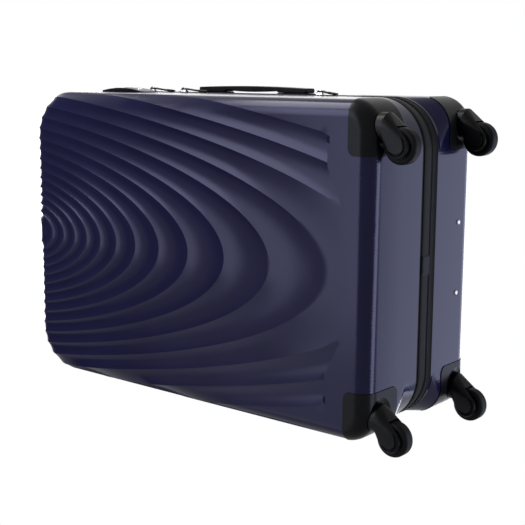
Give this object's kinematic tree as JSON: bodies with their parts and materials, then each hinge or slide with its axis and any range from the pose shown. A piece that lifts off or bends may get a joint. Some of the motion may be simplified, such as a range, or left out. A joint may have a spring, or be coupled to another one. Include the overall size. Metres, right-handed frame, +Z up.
{
  "type": "hard shell suitcase",
  "caption": "Upright hard shell suitcase with ripple relief on the front, zip band, swivel casters, telescopic trolley handle, side carry handle and dial lock.",
  "frame": {"origin": "on the floor under the middle of the case's bounding box", "axes": "+Z up, the ripple front faces -Y, the carry handle and lock are on +X and the hinge on -X"},
  "size_m": [0.504, 0.2784, 0.758],
  "materials": {
    "shell": "satin moulded plastic with a fine hatch",
    "black_plastic": "fine textured black plastic",
    "hub_plastic": "smooth dark grey plastic",
    "wheel_rubber": "matte grey tread",
    "piping": "soft matte edging",
    "tape_fabric": "woven tape",
    "coil": "nylon coil",
    "lining_fabric": "thin polyester lining",
    "strap_fabric": "elastic webbing",
    "tube_aluminium": "anodised tube",
    "steel": "plain steel",
    "zip_metal": "plated zinc",
    "lock_grey": "smooth grey plastic"
  },
  "bodies": {
    "rear_half": {"rear_shell": "shell", "rear_piping": "piping", "rear_zip_tape": "tape_fabric", "rear_zip_coil": "coil", "expander_coil": "coil", "rear_lining": "lining_fabric", "packing_straps": "strap_fabric", "trolley_bezel": "black_plastic", "trolley_outer_tubes": "tube_aluminium", "trolley_foot_bracket": "black_plastic", "trolley_rivets": "steel", "caster_housing_rear_right": "black_plastic", "caster_housing_rear_left": "black_plastic", "rear_swivel_pins": "steel", "carry_handle_bases": "black_plastic"},
    "front_half": {"front_shell": "shell", "front_piping": "piping", "front_zip_tape": "tape_fabric", "front_zip_coil": "coil", "front_lining": "lining_fabric", "lock_body": "black_plastic", "lock_shaft": "steel", "zip_patch": "tape_fabric", "caster_housing_front_right": "black_plastic", "caster_housing_front_left": "black_plastic", "front_swivel_pins": "steel"},
    "trolley_middle": {"trolley_middle_tubes": "tube_aluminium", "trolley_collars": "black_plastic"},
    "trolley_handle": {"trolley_inner_tubes": "tube_aluminium", "trolley_grip": "black_plastic"},
    "trolley_release": {"trolley_button": "black_plastic"},
    "carry_handle": {"carry_grip": "black_plastic"},
    "lock_release": {"lock_button": "lock_grey"},
    "lock_keyway": {"lock_cylinder": "steel"},
    "dial_1": {"lock_dial_1": "lock_grey"},
    "dial_2": {"lock_dial_2": "lock_grey"},
    "dial_3": {"lock_dial_3": "lock_grey"},
    "slider_upper": {"zip_slider_upper": "zip_metal"},
    "pull_upper": {"zip_pull_upper": "black_plastic"},
    "slider_lower": {"zip_slider_lower": "zip_metal"},
    "pull_lower": {"zip_pull_lower": "black_plastic"},
    "slider_expander": {"zip_slider_expander": "zip_metal"},
    "pull_expander": {"zip_pull_expander": "black_plastic"},
    "caster_front_right": {"caster_fork_front_right": "black_plastic", "caster_axle_front_right": "black_plastic"},
    "wheel_front_right": {"wheel_tyre_front_right": "wheel_rubber", "wheel_hub_front_right": "hub_plastic"},
    "caster_front_left": {"caster_fork_front_left": "black_plastic", "caster_axle_front_left": "black_plastic"},
    "wheel_front_left": {"wheel_tyre_front_left": "wheel_rubber", "wheel_hub_front_left": "hub_plastic"},
    "caster_rear_right": {"caster_fork_rear_right": "black_plastic", "caster_axle_rear_right": "black_plastic"},
    "wheel_rear_right": {"wheel_tyre_rear_right": "wheel_rubber", "wheel_hub_rear_right": "hub_plastic"},
    "caster_rear_left": {"caster_fork_rear_left": "black_plastic", "caster_axle_rear_left": "black_plastic"},
    "wheel_rear_left": {"wheel_tyre_rear_left": "wheel_rubber", "wheel_hub_rear_left": "hub_plastic"}
  },
  "joints": [
    {"name": "lid_hinge", "type": "hinge", "parent": "rear_half", "child": "front_half", "pos_m": [-0.2416, 0.019, 0.4025], "axis": [0, 0, -1], "range_deg": [0, 175]},
    {"name": "trolley_lower_slide", "type": "slide", "parent": "rear_half", "child": "trolley_middle", "axis": [0, 0, 1], "range_m": [0, 0.17]},
    {"name": "trolley_upper_slide", "type": "slide", "parent": "trolley_middle", "child": "trolley_handle", "axis": [0, 0, 1], "range_m": [0, 0.17]},
    {"name": "trolley_button_press", "type": "slide", "parent": "trolley_handle", "child": "trolley_release", "axis": [0, 0, -1], "range_m": [0, 0.003], "stiffness_N_per_m": 500},
    {"name": "carry_handle_lift", "type": "slide", "parent": "rear_half", "child": "carry_handle", "axis": [1, 0, 0], "range_m": [0, 0.011], "stiffness_N_per_m": 200},
    {"name": "lock_button_press", "type": "slide", "parent": "front_half", "child": "lock_release", "axis": [-1, 0, 0], "range_m": [0, 0.0015], "stiffness_N_per_m": 400},
    {"name": "lock_key_turn", "type": "hinge", "parent": "front_half", "child": "lock_keyway", "pos_m": [0.24, -0.032, 0.5975], "axis": [1, 0, 0], "range_deg": [0, 90]},
    {"name": "dial_1_turn", "type": "hinge", "parent": "front_half", "child": "dial_1", "pos_m": [0.2421, -0.032, 0.6185], "axis": [0, 0, 1], "continuous": true},
    {"name": "dial_2_turn", "type": "hinge", "parent": "front_half", "child": "dial_2", "pos_m": [0.2421, -0.032, 0.6245], "axis": [0, 0, 1], "continuous": true},
    {"name": "dial_3_turn", "type": "hinge", "parent": "front_half", "child": "dial_3", "pos_m": [0.2421, -0.032, 0.6305], "axis": [0, 0, 1], "continuous": true},
    {"name": "zip_upper_slide", "type": "slide", "parent": "rear_half", "child": "slider_upper", "axis": [0, 0, 1], "range_m": [0, 0.05]},
    {"name": "zip_upper_pull_swing", "type": "hinge", "parent": "slider_upper", "child": "pull_upper", "pos_m": [0.246, 0.019, 0.6165], "axis": [0, -1, 0], "range_deg": [0, 160]},
    {"name": "zip_lower_slide", "type": "slide", "parent": "rear_half", "child": "slider_lower", "axis": [0, 0, -1], "range_m": [0, 0.22]},
    {"name": "zip_lower_pull_swing", "type": "hinge", "parent": "slider_lower", "child": "pull_lower", "pos_m": [0.246, 0.019, 0.5425], "axis": [0, -1, 0], "range_deg": [0, 160]},
    {"name": "zip_expander_slide", "type": "slide", "parent": "rear_half", "child": "slider_expander", "axis": [0, 0, -1], "range_m": [0, 0.1]},
    {"name": "zip_expander_pull_swing", "type": "hinge", "parent": "slider_expander", "child": "pull_expander", "pos_m": [0.246, 0.027, 0.2625], "axis": [0, -1, 0], "range_deg": [0, 160]},
    {"name": "caster_front_right_swivel", "type": "hinge", "parent": "front_half", "child": "caster_front_right", "pos_m": [0.203, -0.107, 0.05], "axis": [0, 0, 1], "continuous": true},
    {"name": "wheel_front_right_spin", "type": "hinge", "parent": "caster_front_right", "child": "wheel_front_right", "pos_m": [0.179, -0.107, 0.025], "axis": [0, 1, 0], "continuous": true},
    {"name": "caster_front_left_swivel", "type": "hinge", "parent": "front_half", "child": "caster_front_left", "pos_m": [-0.203, -0.107, 0.05], "axis": [0, 0, 1], "continuous": true},
    {"name": "wheel_front_left_spin", "type": "hinge", "parent": "caster_front_left", "child": "wheel_front_left", "pos_m": [-0.227, -0.107, 0.025], "axis": [0, 1, 0], "continuous": true},
    {"name": "caster_rear_right_swivel", "type": "hinge", "parent": "rear_half", "child": "caster_rear_right", "pos_m": [0.203, 0.107, 0.05], "axis": [0, 0, 1], "continuous": true},
    {"name": "wheel_rear_right_spin", "type": "hinge", "parent": "caster_rear_right", "child": "wheel_rear_right", "pos_m": [0.179, 0.107, 0.025], "axis": [0, 1, 0], "continuous": true},
    {"name": "caster_rear_left_swivel", "type": "hinge", "parent": "rear_half", "child": "caster_rear_left", "pos_m": [-0.203, 0.107, 0.05], "axis": [0, 0, 1], "continuous": true},
    {"name": "wheel_rear_left_spin", "type": "hinge", "parent": "caster_rear_left", "child": "wheel_rear_left", "pos_m": [-0.227, 0.107, 0.025], "axis": [0, 1, 0], "continuous": true}
  ]
}
